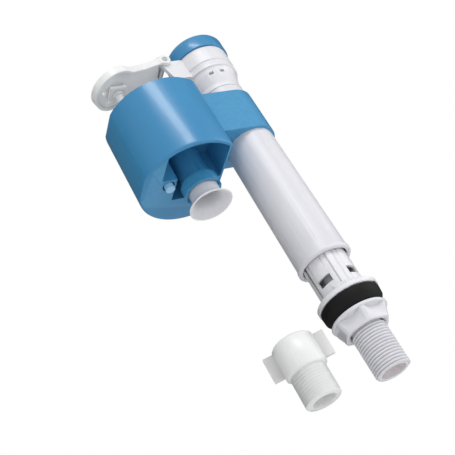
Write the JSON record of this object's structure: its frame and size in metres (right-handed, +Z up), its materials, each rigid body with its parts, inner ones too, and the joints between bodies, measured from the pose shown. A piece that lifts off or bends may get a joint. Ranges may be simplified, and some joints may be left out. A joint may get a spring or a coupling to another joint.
{
  "type": "float valve",
  "caption": "Bottom-entry delayed-action cistern float valve: sliding riser, head with lever arm, float chamber, back nut and a loose threaded adaptor.",
  "frame": {"origin": "on the shank's axis, at the seat face under the lower tube's flange, where the valve sits on the cistern's floor", "axes": "+Z up the riser towards the cap; -X from the riser towards the float chamber and the arm's round end; +Y completes the right-handed frame"},
  "size_m": [0.1036, 0.068, 0.2601],
  "materials": {
    "white_plastic": "satin moulded acetal",
    "natural_plastic": "translucent natural polypropylene",
    "blue_plastic": "glossy moulded blue polypropylene",
    "pale_blue_plastic": "pale blue acetal",
    "pink_plastic": "pale pink moulded plastic",
    "black_rubber": "matt moulded rubber",
    "grey_rubber": "matt silicone",
    "steel": "drawn stainless wire"
  },
  "bodies": {
    "base": {"lower_tube": "white_plastic", "inlet_pipe": "white_plastic", "flow_restrictor": "pink_plastic", "inlet_strainer": "natural_plastic", "rubber_washer": "black_rubber"},
    "nut": {"back_nut": "white_plastic"},
    "riser": {"riser_tube": "white_plastic", "drop_pipe": "white_plastic", "pipe_o_ring": "black_rubber", "head_o_ring": "black_rubber", "valve_head": "white_plastic", "diaphragm": "grey_rubber", "metering_pin": "steel", "pivot_pin": "steel", "float_chamber": "blue_plastic"},
    "cap": {"cap": "blue_plastic"},
    "arm": {"lever_arm": "natural_plastic", "pilot_seal": "black_rubber"},
    "clip": {"screw_clip": "natural_plastic"},
    "screw": {"level_screw": "natural_plastic"},
    "float": {"float": "white_plastic", "guide_stem": "pale_blue_plastic"},
    "check": {"check_cup": "white_plastic", "check_seal": "black_rubber"},
    "adaptor": {"adaptor": "natural_plastic", "adaptor_washer": "black_rubber"}
  },
  "joints": [
    {"name": "nut_travel", "type": "slide", "parent": "base", "child": "nut", "axis": [0, 0, -1], "range_m": [0, 0.025]},
    {"name": "riser_height", "type": "slide", "parent": "base", "child": "riser", "axis": [0, 0, 1], "range_m": [0, 0.06]},
    {"name": "cap_twist", "type": "hinge", "parent": "riser", "child": "cap", "pos_m": [0, 0, 0.204], "axis": [0, 0, 1], "range_deg": [0, 30]},
    {"name": "arm_pivot", "type": "hinge", "parent": "riser", "child": "arm", "pos_m": [-0.0295, 0, 0.1995], "axis": [0, 1, 0], "range_deg": [0, 13]},
    {"name": "clip_lift", "type": "slide", "parent": "riser", "child": "clip", "axis": [0, 0, 1], "range_m": [0, 0.00856]},
    {"name": "screw_turn", "type": "hinge", "parent": "clip", "child": "screw", "pos_m": [-0.0657, 0, 0.19], "axis": [0, 0, 1], "range_deg": [0, 1445]},
    {"name": "float_adjust", "type": "slide", "parent": "clip", "child": "float", "axis": [0, 0, 1], "range_m": [0, 0.008]},
    {"name": "check_lift", "type": "slide", "parent": "riser", "child": "check", "axis": [0, 0, 1], "range_m": [0, 0.0024]},
    {"name": "adaptor_lift", "type": "slide", "parent": "base", "child": "adaptor", "axis": [0, 0, 1], "range_m": [0, 0.03]}
  ],
  "couplings": [
    {"joint": "clip_lift", "follows": "arm_pivot", "m_per_rad": 0.036834},
    {"joint": "screw_turn", "follows": "float_adjust", "rad_per_m": 3141.6}
  ]
}
